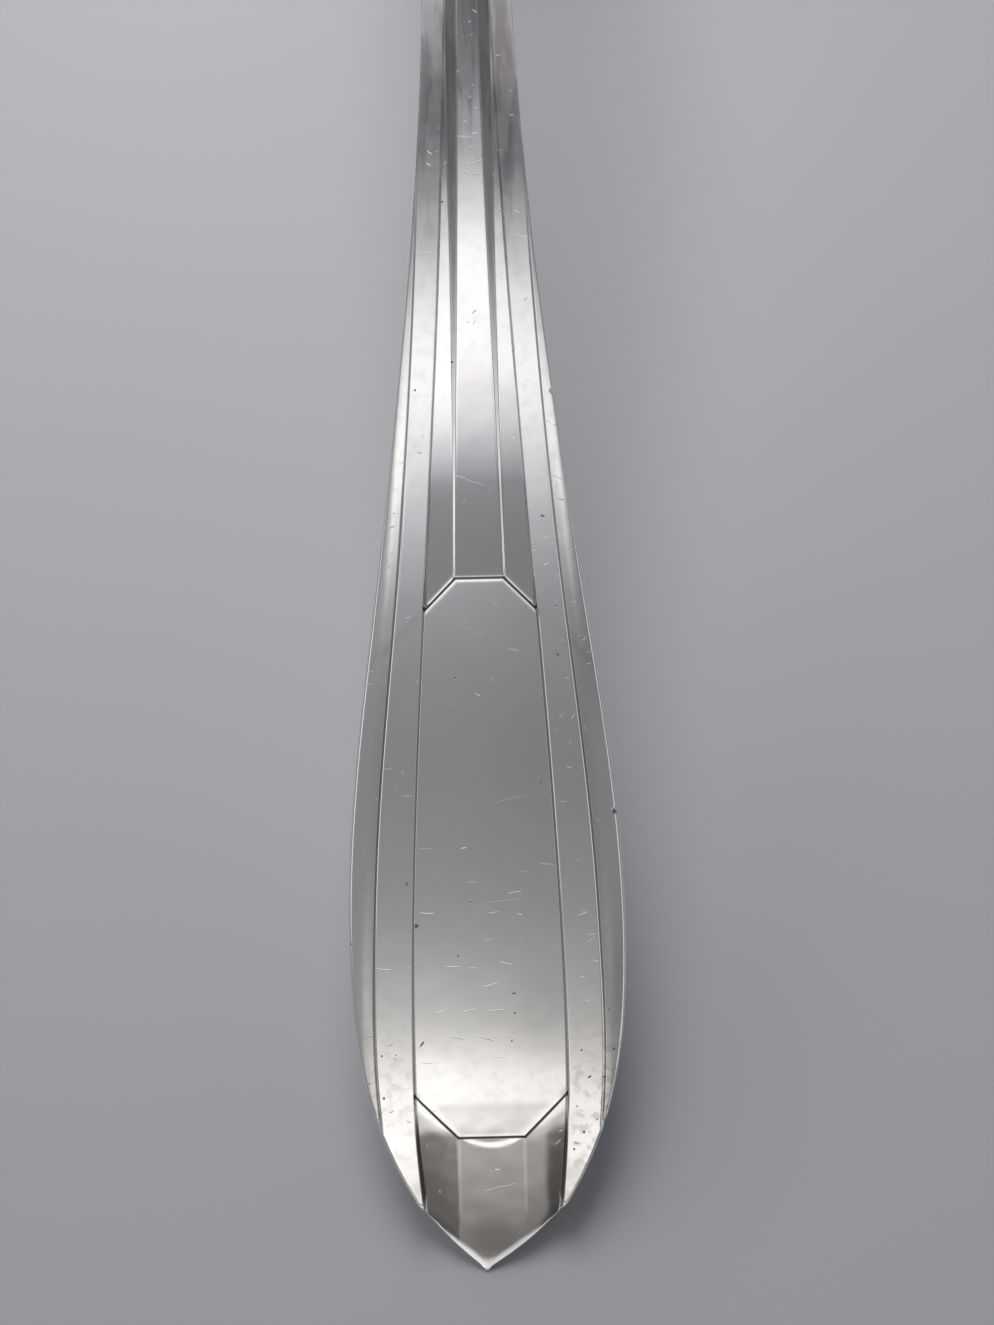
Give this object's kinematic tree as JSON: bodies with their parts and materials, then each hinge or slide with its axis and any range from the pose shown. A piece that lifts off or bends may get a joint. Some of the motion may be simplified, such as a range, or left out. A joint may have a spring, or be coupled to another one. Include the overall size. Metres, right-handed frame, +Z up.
{
  "type": "ladle",
  "caption": "Soup ladle: a deep round bowl on a flat foot, hard-soldered to a long arched handle that widens to a grooved, panelled and pointed end.",
  "frame": {"origin": "centre of the bowl's flat foot, on the table that the ladle rests on", "axes": "+Z up along the bowl's axis; +Y along the ladle from the handle's tip towards the bowl; +X to the right seen from the tip"},
  "size_m": [0.088, 0.2994, 0.057],
  "materials": {
    "silver_plate": "polished",
    "silver_solder": "satin"
  },
  "bodies": {
    "root": {"bowl": "silver_plate", "handle": "silver_plate", "solder_seam": "silver_solder"}
  },
  "joints": []
}
